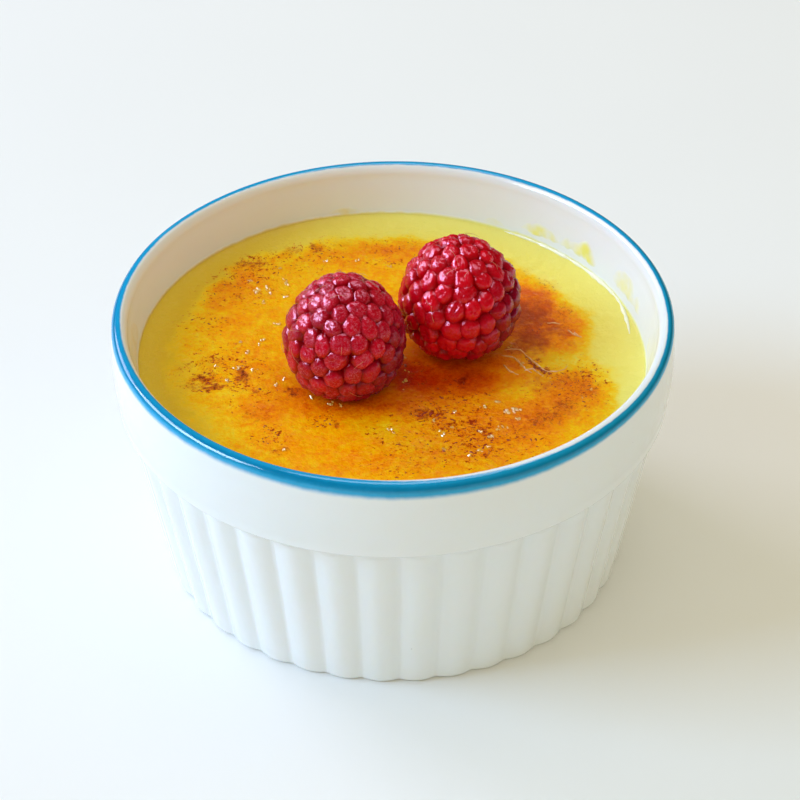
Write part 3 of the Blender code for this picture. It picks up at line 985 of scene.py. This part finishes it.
def make_berry(name, node, towards, lean, count, swelling, seed, material):
    """One raspberry in the place of its CAD node: closed drupelets pressed together round a core."""
    rng = Random(seed)
    low, high = box_mm(node)
    centres, spacing = drupelet_centres(count, rng)
    unit, unit_faces = ball_mesh(bmesh.ops.create_uvsphere, u_segments=22, v_segments=13, radius=1.0)
    core, core_faces = ball_mesh(bmesh.ops.create_icosphere, subdivisions=4, radius=CORE_RADIUS)
    lumps = field(unit * 3, 1.0, seed=seed, octaves=2)

    total = len(core)
    points, faces, tips = [core], list(core_faces), []
    swell, ripe, shade = [np.zeros(total)], [np.full(total, 0.3)], [np.zeros(total)]
    for centre, gap in zip(centres, spacing):
        spin = Matrix.Rotation(rng.uniform(0, tau), 3, "Z")
        turn = Vector(centre).to_track_quat("Z", "Y").to_matrix() @ spin
        wide = gap * OVERLAP * rng.uniform(0.87, 1.08)
        stretch = rng.uniform(0.86, 1.14)
        tall = wide * 1.02 * swelling * rng.uniform(0.92, 1.08)
        start = rng.randrange(len(unit))
        dimple_depth = rng.uniform(0.05, 0.3)
        dimple_x, dimple_y = rng.uniform(-0.2, 0.2), rng.uniform(-0.2, 0.2)
        dimple = np.exp(-((unit[:, 0] - dimple_x) ** 2 + (unit[:, 1] - dimple_y) ** 2) / 0.12)
        shape = unit * (1 + 0.09 * np.roll(lumps, start) - dimple_depth * dimple * (unit[:, 2] > 0))[:, None]
        shape = shape * (wide * stretch, wide / stretch, tall)
        reach = 1 - tall + rng.uniform(-0.012, 0.012)
        lean_out = np.array((rng.gauss(0, 0.02), rng.gauss(0, 0.02), 0))
        points.append((shape + lean_out) @ np.array(turn).T + centre * reach)
        faces += [tuple(total + i for i in face) for face in unit_faces]
        swell.append(np.clip(unit[:, 2], 0, 1))
        ripe.append(np.full(len(unit), rng.random()))
        shade.append(np.full(len(unit), smoothstep(-0.05, -0.9, 0.45 * centre[2] - 0.75 * centre[0])))
        total += len(unit)
        if centre[2] > -0.5:
            tips.append((centre * (reach + tall * 0.99), centre))
    points = np.vstack(points)
    rough = np.stack([field(points, 0.16, seed=seed + i, octaves=3) for i in range(3)], axis=-1)
    points = points + 0.006 * rough

    aside = radians(towards)
    tilt = np.array(Matrix.Rotation(radians(lean), 3, Vector((-sin(aside), cos(aside), 0))))

    def shaped(p):
        """Point of the unit berry, tapered towards its tip and cut flat below."""
        z = p[..., 2]
        cut = -HOLLOW_CUT + 0.06
        z = np.where(z < cut, cut + (z - cut) * 0.15, z)
        taper = 1 - 0.05 * z - 0.05 * z * z
        return np.stack([p[..., 0] * taper, p[..., 1] * taper, z], axis=-1) @ tilt.T

    points = shaped(points)
    start, stop = points.min(0), points.max(0)
    size = np.array(high - low) - 0.16
    size[2] += SUNK
    scale = size / (stop - start)
    origin = np.array([(low.x + high.x) / 2, (low.y + high.y) / 2, high.z - 0.08])
    anchor = np.array([(start[0] + stop[0]) / 2, (start[1] + stop[1]) / 2, stop[2]])
    values = {"swell": np.concatenate(swell), "ripe": np.concatenate(ripe), "shade": np.concatenate(shade)}
    berry = mesh_object(name, (points - anchor) * scale + origin, faces, material, values)
    tips = [((shaped(tip) - anchor) * scale + origin, tilt @ outward) for tip, outward in tips]
    return berry, tips, rng


def make_styles(name, tips, share, rng, material):
    """Dry threads, each from the tip of a drupelet, bent over against the berry."""
    threads = Tubes(sides=5)
    last, radius, berry_width = 9, 0.036, 21
    for tip, outward in tips:
        if rng.random() > share:
            continue
        out = Vector(outward).normalized()
        side = out.cross(Vector([rng.uniform(-1, 1) for _ in range(3)])).normalized()
        bend = out.cross(side) * rng.uniform(-0.5, 0.5)
        length = rng.uniform(1.2, 3.4)
        stand = rng.uniform(0.05, 0.3)
        path = []
        for i in range(last + 1):
            t = i / last
            lift = stand * sin(pi * t) - (length * t) ** 2 / berry_width - 0.02
            path.append(Vector(tip) + (side + bend * t) * length * t + out * lift)
        threads.add(path, [radius * (1 - 0.6 * i / last) for i in range(last + 1)])
    return threads.make(name, material)


# ---- table, light and camera

TABLE_HALF = 3000


def make_stage():
    corners = [(x * TABLE_HALF, y * TABLE_HALF, 0) for x, y in ((-1, -1), (1, -1), (1, 1), (-1, 1))]
    mesh_object("table", corners, [(0, 1, 2, 3)], mottled_material("pale_table"))


# Two windows on the left, a low one behind and a cool one beside, and what only glosses show, their glare
# and the ceiling's: name, direction and height in degrees, size in metres, watts, colour
LIGHTS = (
    ("window_behind", 140, 27, (0.6, 0.45), 8.4, (0.724, 0.747, 1)),
    ("window_beside", 188, 38, (0.7, 0.45), 14.8, (0.375, 0.605, 0.965)),
    ("window_glare", 180, 38, (1.5, 0.55), 42, (0.76, 0.85, 1)),
    ("ceiling_glare", 66, 74, (1, 0.7), 12, (0.9, 0.93, 1)),
)
LIGHT_DISTANCE = 1.5
LIGHTS_AIM = Vector((0, 0, 0.02))
ROOM_COLOUR = (0.99, 0.92, 0.69, 1)
ROOM_STRENGTH = 0.725


def make_lights():
    """The lamps, and a warm room that glosses don't show."""
    for name, azimuth, elevation, size, power, colour in LIGHTS:
        data = bpy.data.lights.new(name, "AREA")
        data.shape = "RECTANGLE"
        data.size, data.size_y = size
        data.energy = power
        data.color = colour
        light = add_object(name, data)
        a, e = radians(azimuth), radians(elevation)
        light.location = Vector((cos(a) * cos(e), sin(a) * cos(e), sin(e))) * LIGHT_DISTANCE
        light.rotation_euler = (LIGHTS_AIM - light.location).to_track_quat("-Z", "Y").to_euler()
        light.visible_diffuse = not name.endswith("glare")
    world = bpy.data.worlds.new("room")
    world.use_nodes = True
    background = world.node_tree.nodes["Background"]
    background.inputs["Color"].default_value = ROOM_COLOUR
    background.inputs["Strength"].default_value = ROOM_STRENGTH
    world.cycles_visibility.glossy = False
    bpy.context.scene.world = world


def make_camera():
    data = bpy.data.cameras.new("camera")
    data.lens = CAMERA_LENS
    data.sensor_width = CAMERA_SENSOR
    data.clip_end = 20
    camera = add_object("camera", data)
    level = Euler((pi / 2 - CAMERA_ELEVATION, 0, 0)).to_matrix()
    right, up, back = level.col
    aim = Vector((0, 0, RIM_Z))
    camera.location = (aim + back * CAMERA_DISTANCE + right * CAMERA_RIGHT + up * CAMERA_UP) * MM
    camera.rotation_euler = (level @ Matrix.Rotation(CAMERA_ROLL, 3, "Z")).to_euler()
    bpy.context.scene.camera = camera


def dress(obj, slot, *nodes):
    """Put a piece on the body, in place of the CAD nodes it stands for, which are hidden; slot is not used.
    """
    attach(obj, "root")
    if nodes:
        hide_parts(*nodes)


def main():
    make_camera()
    make_stage()
    make_lights()
    view = bpy.context.scene.view_settings
    view.view_transform = "Standard"
    view.look = "None"

    dress(make_dish(porcelain_material()), "porcelain", "ramekin")
    dress(make_custard(custard_material()), "custard", "custard")
    dress(make_smears(smear_material()), "custard")
    dress(make_gleam(mottled_material("wet_cream_highlight")), "custard")
    dress(make_folds(mottled_material("folded_skin")), "custard")
    dress(make_blisters(mottled_material("melted_sugar")), "custard")
    dress(make_chars(mottled_material("charred_sugar")), "custard")
    styles = mottled_material("dried_styles")
    for side, towards, lean, count, swelling, seed, clear, dust_and_sheen, share in BERRIES:
        node = "raspberry_" + side
        skin = raspberry_material(node, clear, dust_and_sheen)
        berry, tips, rng = make_berry("berry_" + side, node, towards, lean, count, swelling, seed, skin)
        dress(berry, "raspberry", node)
        dress(make_styles("styles_" + side, tips, share, rng, styles), "raspberry")


main()
